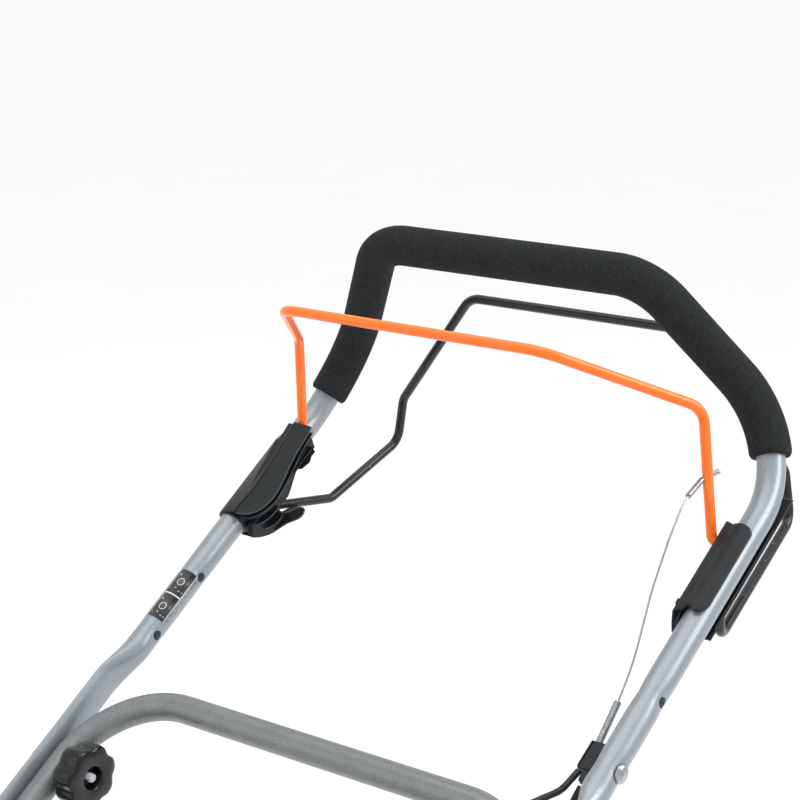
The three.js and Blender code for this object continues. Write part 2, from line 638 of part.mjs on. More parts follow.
const CHAIN = { reelX: -BELT_X, axleX: -BELT_X - 12, half: 3, small: 22, pinion: 15, large: 45 };
function sprocket(radius, x, { y, z }, teeth) {
  const corners = [];
  for (let i = 0; i < teeth * 2; i++) {
    const a = (Math.PI * i) / teeth;
    const r = radius + (i % 2 ? 1.5 : -3);
    corners.push([y + r * Math.cos(a), z + r * Math.sin(a)]);
  }
  return plate(outline(...corners), x - CHAIN.half + 0.8, x + CHAIN.half - 0.8);
}
function countershaft() {
  const pulley = turnedAcross(vGroove(COUNTER_PULLEY, BELT_X, 8), COUNTER.y, COUNTER.z, 20);
  return join(
    rodAcross(8, CHAIN.axleX - 5, BELT_X + 12, COUNTER.y, COUNTER.z, 16),
    pulley,
    sprocket(CHAIN.small, CHAIN.reelX, COUNTER, 12),
    sprocket(CHAIN.pinion, CHAIN.axleX, COUNTER, 9),
  );
}
add(mower, "countershaft", countershaft(), M.steel);

// An open belt or chain: the band between two outlines that wrap both wheels.
function loopBand(a, ra, b, rb, inside, outside, x0, x1) {
  const along = Math.atan2(b.z - a.z, b.y - a.y);
  const span = Math.hypot(b.y - a.y, b.z - a.z);
  const wrap = (grow) => {
    const lean = Math.acos((ra - rb) / span);
    const points = [];
    const arcOf = (c, r, from, to) => {
      for (let i = 0; i <= 9; i++) {
        const t = along + from + ((to - from) * i) / 9;
        points.push(new THREE.Vector2(c.y + (r + grow) * Math.cos(t), c.z + (r + grow) * Math.sin(t)));
      }
    };
    arcOf(a, ra, lean, 2 * Math.PI - lean);
    arcOf(b, rb, -lean, lean);
    return points;
  };
  const shape = new THREE.Shape(wrap(outside));
  shape.holes.push(new THREE.Path(wrap(inside)));
  return plate(shape, x0, x1);
}
add(
  mower,
  "drive_belt",
  loopBand(CRANK, CRANK_PULLEY, COUNTER, COUNTER_PULLEY, -3, 3, BELT_X - 2.2, BELT_X + 2.2),
  M.rubber,
);
const chainOf = (b, r0, r1, x) => loopBand(COUNTER, r0, b, r1, 2.6, 6.6, x - CHAIN.half, x + CHAIN.half);
add(mower, "reel_chain", chainOf(REEL, CHAIN.small, CHAIN.small, CHAIN.reelX), M.steel);
add(mower, "axle_chain", chainOf(AXLE, CHAIN.pinion, CHAIN.large, CHAIN.axleX), M.steel);

// The idler presses the belt when the drive bail is closed.
const IDLER = { pivot: { y: 20, z: 200 }, roller: { y: 40, z: 252 }, radius: 15 };
function idlerArm() {
  const x0 = outer + 1;
  const x1 = x0 + 4;
  const { pivot, roller } = IDLER;
  const bar = outline([pivot.y - 8, pivot.z], [pivot.y + 8, pivot.z - 4], [roller.y + 8, roller.z], [roller.y - 8, roller.z]);
  return join(
    plate(bar, x0, x1),
    rodAcross(9, x0, x1, pivot.y, pivot.z, 16),
    rodAcross(8.5, x0, x1, roller.y, roller.z, 16),
    rodAcross(4, x0, BELT_X + 9, roller.y, roller.z, 12),
    rodAcross(4, x0, x1 + 4, pivot.y, pivot.z, 12),
  );
}
add(mower, "idler_arm", idlerArm(), M.zinc);
const idlerRing = rodAcross(IDLER.radius, BELT_X - 7, BELT_X + 7, IDLER.roller.y, IDLER.roller.z, 24);
const idlerBore = rodAcross(4.3, BELT_X - 9, BELT_X + 9, IDLER.roller.y, IDLER.roller.z, 16);
add(mower, "idler_roller", cut(idlerRing, idlerBore), M.black);

// A pressed cover: an outer wall and a rim all round, open towards the side plate.
function cover(corners, x0, x1, wall, holes) {
  const centre = corners.reduce(([y, z], [a, b]) => [y + a / corners.length, z + b / corners.length], [0, 0]);
  const shrink = corners.map(([y, z]) => {
    const reach = Math.hypot(y - centre[0], z - centre[1]);
    const k = (reach - wall * 1.3) / reach;
    return [centre[0] + (y - centre[0]) * k, centre[1] + (z - centre[1]) * k];
  });
  const out = x1 > x0 ? 1 : -1;
  const shell = plate(outline(...corners), x0, x1);
  return cut(shell, plate(outline(...shrink), x0 - out, x1 - out * wall), ...holes);
}
const BELT_COVER = [[6, 186], [6, 210], [20, 270], [62, 348], [85, 362], [125, 362], [148, 340], [186, 200], [186, 160],
  [165, 122], [140, 112], [92, 112], [20, 178]];
add(mower, "belt_cover", cover(BELT_COVER, outer + GAP, 292, 2.5, []), M.enamel);
const CHAIN_COVER = [[-57, 100], [-61, 140], [-44, 176], [100, 214], [140, 212], [275, 158], [285, 110], [262, 82],
  [228, 80], [30, 62], [-34, 64]];
const axleHole = rodAcross(9, -300, -250, AXLE.y, AXLE.z, 20);
add(mower, "chain_cover", cover(CHAIN_COVER, -outer - GAP, -294, 2.5, [axleHole]), M.enamel);

// ---------------------------------------------------------------- wheels
const TRACK = { inner: 301, outer: 343 };
function axle() {
  const shaft = rodAcross(8, -TRACK.outer - 8, TRACK.outer + 8, AXLE.y, AXLE.z, 16);
  return join(shaft, sprocket(CHAIN.large, CHAIN.axleX, AXLE, 15));
}
add(mower, "axle", axle(), M.steel);

function wheelRim() {
  const { inner, outer: out } = TRACK;
  const r = AXLE.wheel - 22;
  const profile = [[8.4, inner], [22, inner], [22, 316], [r - 8, 316], [r - 6, inner + 3], [r, inner + 3], [r, out - 3],
    [r - 6, out - 3], [r - 8, 324], [22, 324], [22, out], [8.4, out], [8.4, inner]];
  const holes = [];
  for (let i = 0; i < 6; i++) {
    const a = (i * Math.PI) / 3;
    holes.push(rodAcross(19, 310, 330, AXLE.y + 57 * Math.cos(a), AXLE.z + 57 * Math.sin(a), 8));
  }
  return cut(turnedAcross(profile, AXLE.y, AXLE.z, 20), ...holes);
}
function tyre() {
  const { inner, outer: out } = TRACK;
  const [r, bead] = [AXLE.wheel, AXLE.wheel - 20.6];
  const profile = [[bead, inner + 1], [r - 7, inner], [r - 1.5, inner + 5], [r, inner + 14], [r, out - 14],
    [r - 1.5, out - 5], [r - 7, out], [bead, out - 1], [bead, inner + 1]];
  return turnedAcross(profile, AXLE.y, AXLE.z, 24);
}
const rimShape = wheelRim();
const tyreShape = tyre();
add(mower, "wheel_right", rimShape, M.black);
add(mower, "wheel_left", mirrored(rimShape), M.black);
add(mower, "tyre_right", tyreShape, M.rubber);
add(mower, "tyre_left", mirrored(tyreShape), M.rubber);

// ---------------------------------------------------------------- reel, bed knife and front roller
function reel() {
  const { radius, half, shaft, blades } = REEL;
  const pieces = [];
  for (let i = 0; i < 3; i++) {
    const x = -half + 4 + i * (half - 4);
    pieces.push(cut(rodAcross(radius - 10, x - 2, x + 2, 0, 0, 12), rodAcross(radius - 36, x - 3, x + 3, 0, 0, 8)));
    for (let k = 0; k < 3; k++) pieces.push(block(x - 2, x + 2, -6, 6, 0, radius - 14).rotateX((k * Math.PI * 2) / 3));
  }
  const twist = rad(70);
  for (let k = 0; k < blades; k++) {
    const bar = new THREE.BoxGeometry(half * 2, 4, 14, 8, 1, 1).translate(0, 0, radius - 7);
    const p = bar.attributes.position;
    for (let i = 0; i < p.count; i++) {
      const a = (k * 2 * Math.PI) / blades + (twist * p.getX(i)) / (half * 2);
      const [y, z] = [p.getY(i), p.getZ(i)];
      p.setY(i, y * Math.cos(a) - z * Math.sin(a));
      p.setZ(i, y * Math.sin(a) + z * Math.cos(a));
    }
    pieces.push(bar);
  }
  const drive = sprocket(CHAIN.small, CHAIN.reelX, { y: 0, z: 0 }, 12);
  return join(rodAcross(shaft, -275, 259, 0, 0, 16), drive, ...pieces).translate(0, REEL.y, REEL.z);
}
add(mower, "reel", reel(), M.steel);
const knifeTop = REEL.z - REEL.radius - 0.8;
const knife = block(-between, between, 168, REEL.y + 3, knifeTop - 4, knifeTop);
add(mower, "bed_knife", join(knife, block(-between, between, 166, 196, knifeTop - 1, knifeTop + 16)), M.steel);

const rollerSpan = between - 1;
function frontRoller() {
  const grooves = [[0, -rollerSpan]];
  const count = 3;
  for (let i = 0; i < count; i++) {
    const x = -rollerSpan + (i * rollerSpan * 2) / count;
    const pitch = (rollerSpan * 2) / count;
    grooves.push([ROLLER.radius, x], [ROLLER.radius, x + pitch - 8]);
    if (i < count - 1) grooves.push([ROLLER.radius - 5, x + pitch - 6], [ROLLER.radius - 5, x + pitch - 2]);
  }
  grooves.push([ROLLER.radius, rollerSpan], [0, rollerSpan]);
  const drum = turnedAcross(grooves, ROLLER.y, ROLLER.z, 16);
  return join(drum, rodAcross(7, -outer - 7, outer + 7, ROLLER.y, ROLLER.z, 16));
}
add(mower, "front_roller", frontRoller(), M.casting);
function rollerBracket() {
  const y = ROLLER.y;
  const strapPlate = plate(outline([y - 14, 20], [y + 14, 20], [y + 14, 112], [y - 14, 112]), outer + GAP, outer + 5);
  const nut = rodAcross(8, outer + 4.8, outer + 11, y, 92, 6);
  return cut(join(strapPlate, nut), rodAcross(7.4, outer - 2, outer + 9, y, ROLLER.z, 20));
}
const rollerBracketShape = rollerBracket();
add(mower, "roller_bracket_right", rollerBracketShape, M.zinc);
add(mower, "roller_bracket_left", mirrored(rollerBracketShape), M.zinc);

// ---------------------------------------------------------------- export
const size = new THREE.Box3().setFromObject(mower, true);
const middle = size.getCenter(v3(0, 0, 0));
mower.position.set(-middle.x, -middle.y, -size.min.z);
const root = new THREE.Group();
root.add(mower);
export default root;
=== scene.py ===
"""Looks of the petrol reel mower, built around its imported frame.

The handle has its own axes: x to the operator's right, s down along its legs and h square to them, in
millimetres. Its zero is found from the fold joint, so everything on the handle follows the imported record.
"""
import json
import math

import bmesh
import bpy
import numpy as np
from mathutils import Matrix, Vector, noise


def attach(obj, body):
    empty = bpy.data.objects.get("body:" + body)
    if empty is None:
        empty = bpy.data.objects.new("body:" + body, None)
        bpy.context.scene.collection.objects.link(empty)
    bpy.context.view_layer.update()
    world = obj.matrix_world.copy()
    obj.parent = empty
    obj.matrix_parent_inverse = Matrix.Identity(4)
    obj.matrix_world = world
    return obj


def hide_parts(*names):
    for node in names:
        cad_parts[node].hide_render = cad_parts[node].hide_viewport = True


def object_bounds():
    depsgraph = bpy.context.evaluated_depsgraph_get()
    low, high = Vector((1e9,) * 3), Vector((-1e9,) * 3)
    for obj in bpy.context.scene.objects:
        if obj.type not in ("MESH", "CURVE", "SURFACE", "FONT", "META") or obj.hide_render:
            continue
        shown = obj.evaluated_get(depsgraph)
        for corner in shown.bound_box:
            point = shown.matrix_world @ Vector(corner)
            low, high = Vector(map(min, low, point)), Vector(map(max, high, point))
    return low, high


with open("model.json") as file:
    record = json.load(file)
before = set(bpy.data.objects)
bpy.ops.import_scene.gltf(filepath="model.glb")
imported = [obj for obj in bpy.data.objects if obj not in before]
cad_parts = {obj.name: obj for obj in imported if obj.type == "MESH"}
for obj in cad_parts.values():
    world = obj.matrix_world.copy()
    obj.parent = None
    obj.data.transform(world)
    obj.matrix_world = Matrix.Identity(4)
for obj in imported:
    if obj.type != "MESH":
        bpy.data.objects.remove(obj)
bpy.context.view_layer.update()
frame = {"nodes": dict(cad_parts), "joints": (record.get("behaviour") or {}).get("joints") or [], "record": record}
JOINTS = {joint["name"]: joint for joint in frame["joints"]}

# ---------------------------------------------------------------- places on the mower
SLOPE = math.radians(34)  # of the handle's legs
ALONG = Vector((0, math.cos(SLOPE), -math.sin(SLOPE)))
ABOVE = Vector((0, math.sin(SLOPE), math.cos(SLOPE)))
FOLD_S = 445
FOLD = Vector(JOINTS["handle_fold"]["pos_m"])


def at(x, s, h):
    """A point of the handle, in metres in the row frame."""
    return Vector((x / 1000, FOLD.y, FOLD.z)) + ALONG * ((s - FOLD_S) / 1000) + ABOVE * (h / 1000)


# ---------------------------------------------------------------- camera, floor and light
AZIMUTH = math.radians(38.5931)
ELEVATION = math.radians(13.8335)
ROLL = math.radians(-0.1448)
CAMERA_FROM_HANDLE = Vector((-0.96750, 1.42081, 0.42588))  # from the middle of the legs' upper corners


def camera_axes():
    back = Vector(
        (-math.sin(AZIMUTH) * math.cos(ELEVATION), math.cos(AZIMUTH) * math.cos(ELEVATION),
         math.sin(ELEVATION))
    )
    right = (-back).cross(Vector((0, 0, 1))).normalized()
    up = right.cross(-back)
    turned_right = right * math.cos(ROLL) + up * math.sin(ROLL)
    turned_up = up * math.cos(ROLL) - right * math.sin(ROLL)
    return turned_right, turned_up, back


def add_camera():
    right, up, back = camera_axes()
    data = bpy.data.cameras.new("camera")
    data.sensor_width = 36
    data.lens = 97.2
    data.clip_end = 200
    camera = bpy.data.objects.new("camera", data)
    turn = Matrix((right, up, back)).transposed().to_4x4()
    camera.matrix_world = Matrix.Translation(at(0, 0, 0) + CAMERA_FROM_HANDLE) @ turn
    bpy.context.scene.collection.objects.link(camera)
    bpy.context.scene.camera = camera


def add_light(name, place, target, size, power, colour=(1, 1, 1)):
    data = bpy.data.lights.new(name, "AREA")
    data.shape = "SQUARE"
    data.size = size
    data.energy = power
    data.color = colour
    lamp = bpy.data.objects.new(name, data)
    lamp.location = place
    lamp.rotation_euler = (Vector(target) - Vector(place)).to_track_quat("-Z", "Y").to_euler()
    bpy.context.scene.collection.objects.link(lamp)


add_camera()
right, up, back = camera_axes()
middle = at(0, 120, 60)
add_light("softbox_right", middle + right * 1.9 + up * 1.2 + back * 0.7, middle, 1.3, 34)
add_light("softbox_top", middle + Vector((0.1, 0.1, 1.9)), middle, 2.0, 20)
add_light("fill_left", middle - right * 2.2 + up * 0.5 + back * 1.2, middle, 1.8, 8)
world = bpy.data.worlds.new("studio")
bpy.context.scene.world = world
world.use_nodes = True
world.node_tree.nodes["Background"].inputs["Color"].default_value = (1, 1, 1, 1)
world.node_tree.nodes["Background"].inputs["Strength"].default_value = 1.0
bpy.context.scene.view_settings.view_transform = "Standard"


# ---------------------------------------------------------------- materials
def material(name, colour, roughness, metallic=0.0, coat=0.0, second=None, patch=60.0, grain=900.0, bump=0.1,
             rough_spread=0.06, speckle=None, stretch=(1, 1, 1), shine=0.5):
    """A paint, plastic or metal whose colour, gloss and surface all vary a little over the piece."""
    made = bpy.data.materials.new(name)
    made.use_nodes = True
    tree = made.node_tree
    shader = tree.nodes["Principled BSDF"]
    link = tree.links.new

    def node(kind, **values):
        n = tree.nodes.new(kind)
        for key, value in values.items():
            n.inputs[key].default_value = value
        return n

    place = tree.nodes.new("ShaderNodeTexCoord")
    mapping = node("ShaderNodeMapping", Scale=stretch)
    link(place.outputs["Object"], mapping.inputs["Vector"])
    broad = node("ShaderNodeTexNoise", Scale=patch, Detail=5.0, Roughness=0.6)
    fine = node("ShaderNodeTexNoise", Scale=grain, Detail=3.0, Roughness=0.55)
    for texture in (broad, fine):
        link(mapping.outputs["Vector"], texture.inputs["Vector"])
    ramp = tree.nodes.new("ShaderNodeValToRGB")
    dark = second or tuple(c * 0.82 for c in colour)
    ramp.color_ramp.elements[0].position = 0.32
    ramp.color_ramp.elements[0].color = (*dark, 1)
    ramp.color_ramp.elements[1].position = 0.68
    ramp.color_ramp.elements[1].color = (*colour, 1)
    link(broad.outputs["Fac"], ramp.inputs["Fac"])
    colour_out = ramp.outputs["Color"]
    if speckle:
        size, amount, tint = speckle
        cells = node("ShaderNodeTexVoronoi", Scale=size)
        link(mapping.outputs["Vector"], cells.inputs["Vector"])
        pick = node("ShaderNodeMapRange", **{"From Min": 1 - amount, "From Max": 1.0})
        split = tree.nodes.new("ShaderNodeSeparateColor")
        link(cells.outputs["Color"], split.inputs["Color"])
        link(split.outputs[0], pick.inputs["Value"])
        mix = tree.nodes.new("ShaderNodeMix")
        mix.data_type = "RGBA"
        mix.inputs["B"].default_value = (*tint, 1)
        link(pick.outputs["Result"], mix.inputs["Factor"])
        link(colour_out, mix.inputs["A"])
        colour_out = mix.outputs["Result"]
    link(colour_out, shader.inputs["Base Color"])
    gloss = node("ShaderNodeMapRange", **{"To Min": max(roughness - rough_spread, 0.02),
                                          "To Max": min(roughness + rough_spread, 1.0)})
    link(fine.outputs["Fac"], gloss.inputs["Value"])
    link(gloss.outputs["Result"], shader.inputs["Roughness"])
    relief = node("ShaderNodeBump", Strength=bump, Distance=0.0004)
    link(fine.outputs["Fac"], relief.inputs["Height"])
    link(relief.outputs["Normal"], shader.inputs["Normal"])
    shader.inputs["Metallic"].default_value = metallic
    shader.inputs["Coat Weight"].default_value = coat
    shader.inputs["Coat Roughness"].default_value = 0.08
    shader.inputs["Specular IOR Level"].default_value = shine
    return made


LOOKS = {
    "silver_paint": material("silver_paint", (0.235, 0.265, 0.290), 0.34, 0.35, coat=0.25,
                             second=(0.21, 0.24, 0.265),
                             patch=25, grain=1400, bump=0.03, speckle=(2600, 0.18, (0.31, 0.34, 0.365))),
    "grey_paint": material("grey_paint", (0.170, 0.185, 0.188), 0.4, 0.45, coat=0.15,
                           second=(0.145, 0.158, 0.16),
                           patch=90, grain=1200, bump=0.04, speckle=(2400, 0.2, (0.27, 0.285, 0.285))),
    "foam": material("foam", (0.020, 0.022, 0.024), 0.92, second=(0.013, 0.015, 0.016), patch=300, grain=1500,
                     bump=0.5, rough_spread=0.08, speckle=(900, 0.04, (0.035, 0.038, 0.04)), shine=0.12),
    "orange_coat": material("orange_coat", (0.90, 0.17, 0.012), 0.25, coat=0.3, second=(0.84, 0.145, 0.009),
                            patch=40, grain=700, bump=0.05, shine=0.25),
    "black_coat": material("black_coat", (0.010, 0.012, 0.014), 0.24, coat=0.2, second=(0.007, 0.008, 0.009),
                           patch=60, grain=700, bump=0.05, speckle=(500, 0.006, (0.08, 0.08, 0.08)),
                           shine=0.25),
    "black_plastic": material("black_plastic", (0.014, 0.017, 0.019), 0.44, second=(0.009, 0.011, 0.013),
                              patch=70, grain=2200, bump=0.1, shine=0.22),
    "knob_plastic": material("knob_plastic", (0.006, 0.007, 0.009), 0.18, second=(0.004, 0.005, 0.006),
                             patch=80, grain=600, bump=0.05, coat=0.2, shine=0.2),
    "zinc": material("zinc", (0.40, 0.42, 0.44), 0.26, 0.95, second=(0.27, 0.285, 0.30), patch=240, grain=900,
                     bump=0.12, rough_spread=0.1),
    "steel": material("steel", (0.34, 0.36, 0.38), 0.34, 0.95, second=(0.25, 0.27, 0.29), patch=130,
                      grain=900, bump=0.12, rough_spread=0.12, stretch=(1, 3, 3)),
    "body_paint": material("body_paint", (0.022, 0.026, 0.029), 0.32, coat=0.2, second=(0.016, 0.019, 0.021),
                           patch=20, grain=800, bump=0.08, shine=0.3),
    "casting": material("casting", (0.33, 0.34, 0.35), 0.5, 0.85, second=(0.25, 0.26, 0.27), patch=120,
                        grain=700, bump=0.45, rough_spread=0.12),
    "heat_steel": material("heat_steel", (0.20, 0.185, 0.17), 0.5, 0.85, second=(0.13, 0.11, 0.10), patch=30,
                           grain=600, bump=0.25, rough_spread=0.15),
    "rubber": material("rubber", (0.010, 0.011, 0.012), 0.3, second=(0.007, 0.008, 0.009), patch=160,
                       grain=1500, bump=0.12, shine=0.3),
    "tyre": material("tyre", (0.018, 0.018, 0.019), 0.72, second=(0.011, 0.011, 0.012), patch=120, grain=1100,
                     bump=0.35, shine=0.2),
    "tank_plastic": material("tank_plastic", (0.011, 0.013, 0.015), 0.3, second=(0.008, 0.009, 0.011),
                             patch=50, grain=1200, bump=0.12, shine=0.25),
    "orange_plastic": material("orange_plastic", (0.88, 0.16, 0.012), 0.35, second=(0.80, 0.13, 0.01),
                               patch=60, grain=1600, bump=0.1, shine=0.25),
    # Lighter grey for thin rods along the right bracket's rib edges: painted highlights.
    "painted_highlight_rim": material("painted_highlight_rim", (0.075, 0.085, 0.095), 0.45, second=(0.045, 0.052, 0.058), patch=300,
                         grain=1200, bump=0.1, shine=0.3),
}


def dress(thing, slot):
    thing.data.materials.clear()
    thing.data.materials.append(LOOKS[slot])


for entry in frame["record"]["subparts"]:
    dress(frame["nodes"][entry["node"]], entry["material_slot"])


# ---------------------------------------------------------------- the floor
def add_floor():
    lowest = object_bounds()[0][2]
    half = 45.0
    mesh = bpy.data.meshes.new("floor")
    corners = [(-half, -half, lowest), (half, -half, lowest), (half, half, lowest), (-half, half, lowest)]
    mesh.from_pydata(corners, [], [(0, 1, 2, 3)])
    floor = bpy.data.objects.new("floor", mesh)
    bpy.context.scene.collection.objects.link(floor)
    mesh.materials.append(
        material("floor", (0.95, 0.95, 0.95), 0.8, second=(0.94, 0.94, 0.94), patch=3, grain=60, bump=0.02)
    )


add_floor()


# ---------------------------------------------------------------- shapes
def add_mesh(name, points, faces, slot, body, smooth=35, replaces=(), bevel=0, look=None):
    mesh = bpy.data.meshes.new(name)
    mesh.from_pydata([tuple(p) for p in points], [], faces)
    solid = bmesh.new()
    solid.from_mesh(mesh)
    bmesh.ops.recalc_face_normals(solid, faces=solid.faces)
    solid.to_mesh(mesh)
    solid.free()
    mesh.polygons.foreach_set("use_smooth", [True] * len(mesh.polygons))
    mesh.set_sharp_from_angle(angle=math.radians(smooth))
    thing = bpy.data.objects.new(name, mesh)
    bpy.context.scene.collection.objects.link(thing)
    mesh.materials.append(look or LOOKS[slot])
    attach(thing, body)
    if replaces:
        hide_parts(*replaces)
    if bevel:
        edge = thing.modifiers.new("edges", "BEVEL")
        edge.width = bevel / 1000
        edge.segments = 2
        edge.limit_method = "ANGLE"
        edge.angle_limit = math.radians(40)
        edge.harden_normals = True
    return thing


def thicken(thing, millimetres, rounded=False):
    """Gives a thin sheet its thickness."""
    skin = thing.modifiers.new("thickness", "SOLIDIFY")
    skin.thickness = millimetres / 1000
    skin.offset = 0
    if rounded:
        soften = thing.modifiers.new("edges", "BEVEL")
        soften.width = 0.0004
        soften.segments = 2


def bore(thing, *tools):
    """Cuts each tool, a list of points and its faces in metres, out of a piece."""
    for points, faces in tools:
        mesh = bpy.data.meshes.new("tool")
        mesh.from_pydata([tuple(p) for p in points], [], faces)
        cutter = bpy.data.objects.new("tool", mesh)
        bpy.context.scene.collection.objects.link(cutter)
        step = thing.modifiers.new("bore", "BOOLEAN")
        step.operation = "DIFFERENCE"
        step.solver = "EXACT"
        step.object = cutter
        bpy.context.view_layer.update()
        done = bpy.data.meshes.new_from_object(thing.evaluated_get(bpy.context.evaluated_depsgraph_get()))
        thing.modifiers.remove(step)
        thing.data = done
        bpy.data.objects.remove(cutter)
    thing.data.set_sharp_from_angle(angle=math.radians(40))


STRAIGHT = 0.01  # radians of turn below which a corner stays as it is


def bent(corners, radii, steps=10):
    """A line through corners, each rounded to its radius, as points in the handle's own millimetres."""
    corners = [np.array(c, float) for c in corners]
    out = [corners[0]]
    for i in range(1, len(corners) - 1):
        here = corners[i]
        behind, ahead = corners[i - 1] - here, corners[i + 1] - here
        lengths = np.linalg.norm(behind), np.linalg.norm(ahead)
        behind, ahead = behind / lengths[0], ahead / lengths[1]
        half = math.acos(np.clip(behind @ ahead, -1, 1)) / 2
        if math.pi - 2 * half < STRAIGHT:
            out.append(here)
            continue
        radius = radii[i - 1] if isinstance(radii, (list, tuple)) else radii
        reach = min(radius / math.tan(half), lengths[0] * 0.49, lengths[1] * 0.49)
        middle_way = (behind + ahead) / np.linalg.norm(behind + ahead)
        centre = here + middle_way * reach / math.cos(half)
        a, b = here + behind * reach - centre, here + ahead * reach - centre
        turn = math.pi - 2 * half
        for k in range(steps + 1):
            t = turn * k / steps
            out.append(centre + (a * math.sin(turn - t) + b * math.sin(t)) / math.sin(turn))
    out.append(corners[-1])
    return np.array(out)


def spaced(line, step):
    """The same line with points no further apart than step."""
    out = [line[0]]
    for a, b in zip(line[:-1], line[1:]):
        count = max(1, math.ceil(np.linalg.norm(b - a) / step))
        out += [a + (b - a) * k / count for k in range(1, count + 1)]
    return np.array(out)


def stretch_of(line, start, end):
    """The part of a line between two distances along it."""
    run = np.concatenate([[0], np.cumsum(np.linalg.norm(np.diff(line, axis=0), axis=1))])
    keep = (run > start + 0.5) & (run < end - 0.5)

    def point_at(distance):
        return np.array([np.interp(distance, run, line[:, k]) for k in range(3)])

    return np.vstack([point_at(start), line[keep], point_at(end)])


def length_of(line):
    return float(np.linalg.norm(np.diff(line, axis=0), axis=1).sum())


def sides_of(line):
    """Two directions square to the line at every point, carried along without twisting."""
    steps = np.diff(line, axis=0)
    steps /= np.linalg.norm(steps, axis=1)[:, None]
    tangents = np.vstack([steps[:1], steps[:-1] + steps[1:], steps[-1:]])
    tangents /= np.linalg.norm(tangents, axis=1)[:, None]
    first = np.cross(tangents[0], [0, 0, 1] if abs(tangents[0][2]) < 0.9 else [1, 0, 0])
    sides = [first / np.linalg.norm(first)]
    for t in tangents[1:]:
        u = sides[-1] - t * (sides[-1] @ t)
        sides.append(u / np.linalg.norm(u))
    u = np.array(sides)
    return u, np.cross(tangents, u)


def tube_points(line, radius, count):
    """Rings of points round a line. The radius is a number, or one number for each point of the line."""
    u, v = sides_of(line)
    angles = np.arange(count) * 2 * math.pi / count
    r = np.broadcast_to(np.asarray(radius, float), (len(line),))
    ring = np.cos(angles)[None, :, None] * u[:, None, :] + np.sin(angles)[None, :, None] * v[:, None, :]
    return line[:, None, :] + ring * r[:, None, None]


def ring_faces(rings, count, closed_ends=True, loop=False):
    """Faces between rings of points, with flat ends or joined round from the last ring to the first."""
    faces = []
    for i in range(rings if loop else rings - 1):
        a, b = i * count, ((i + 1) % rings) * count
        for k in range(count):
            m = (k + 1) % count
            faces.append((a + k, a + m, b + m, b + k))
    if closed_ends and not loop:
        faces.append(tuple(reversed(range(count))))
        faces.append(tuple((rings - 1) * count + k for k in range(count)))
    return faces


def on_handle(points):
    flat = np.asarray(points, float).reshape(-1, 3)
    along, above = np.array(ALONG), np.array(ABOVE)
    base = np.array([0, FOLD.y, FOLD.z])
    x = np.outer(flat[:, 0], [1, 0, 0])
    return base + (x + np.outer(flat[:, 1] - FOLD_S, along) + np.outer(flat[:, 2], above)) / 1000


def add_rod(name, line, radius, slot, body, count=20, replaces=(), reshape=None):
    points = tube_points(line, radius, count)
    if reshape:
        points = reshape(points)
    return add_mesh(name, on_handle(points), ring_faces(len(line), count), slot, body, 50, replaces)


# ---------------------------------------------------------------- the upper handle and its foam grip
LEG_X, TUBE = 221, 11
GRIP = {"half": 127, "s": -11, "h": 150}
HANDLE_CORNERS = [
    (LEG_X, 505, 0), (LEG_X, 0, 0), (GRIP["half"], GRIP["s"], GRIP["h"]),
    (-GRIP["half"], GRIP["s"], GRIP["h"]), (-LEG_X, 0, 0), (-LEG_X, 505, 0),
]
HANDLE_LINE = bent(HANDLE_CORNERS, [80, 48, 48, 80], 24)
FLAT_FROM, FLAT_TO, FLAT_X, FLAT_HALF = 325, 365, 227.5, 5  # the ends pressed flat
FLAT_SPREAD = 0.3  # share that a pressed end grows in height
DIMPLES = (248, 311)  # the cross holes' places along the legs
DIMPLE = {"depth": 1.5, "along": 9, "across": 7.5, "reach": 40}
HOLE_RADIUS = 4.2


def shape_upper(points):
    """Dimples on the outside round the cross holes, and ends pressed flat against the lower handle."""
    p = points.copy()
    side = np.sign(p[..., 0])
    off = np.abs(p[..., 0]) - LEG_X
    for s in DIMPLES:
        near = np.exp(-(((p[..., 1] - s) / DIMPLE["along"]) ** 2 + (p[..., 2] / DIMPLE["across"]) ** 2))
        off = off - DIMPLE["depth"] * near * np.sign(off) * (np.abs(p[..., 1] - s) < DIMPLE["reach"])
    t = np.clip((p[..., 1] - FLAT_FROM) / (FLAT_TO - FLAT_FROM), 0, 1)
    f = t * t * (3 - 2 * t)
    off = off * (1 - f * (1 - FLAT_HALF / TUBE))
    p[..., 2] *= 1 + FLAT_SPREAD * f
    p[..., 0] = side * (LEG_X + f * (FLAT_X - LEG_X) + off)
    return p


def pin_tool(radius, x0, x1, s, h=0, count=24):
    """A round cutter across a leg, from x0 to x1."""
    line = np.array([(x0, s, h), (x1, s, h)], float)
    return on_handle(tube_points(line, radius, count)), ring_faces(2, count)


upper_tube = add_rod("upper_tube", spaced(HANDLE_LINE, 2.5), TUBE, "silver_paint", "upper_handle", 56,
                     ["upper_handle"], shape_upper)
for side in (-1, 1):
    bore(upper_tube, *[pin_tool(HOLE_RADIUS, side * 190, side * 250, s) for s in DIMPLES])


FOAM = {"radius": 16.2, "round": 1.4, "end": 3.5, "lump": 0.1, "right_extra": 25, "left_extra": 7}
BEND_STEPS = 24


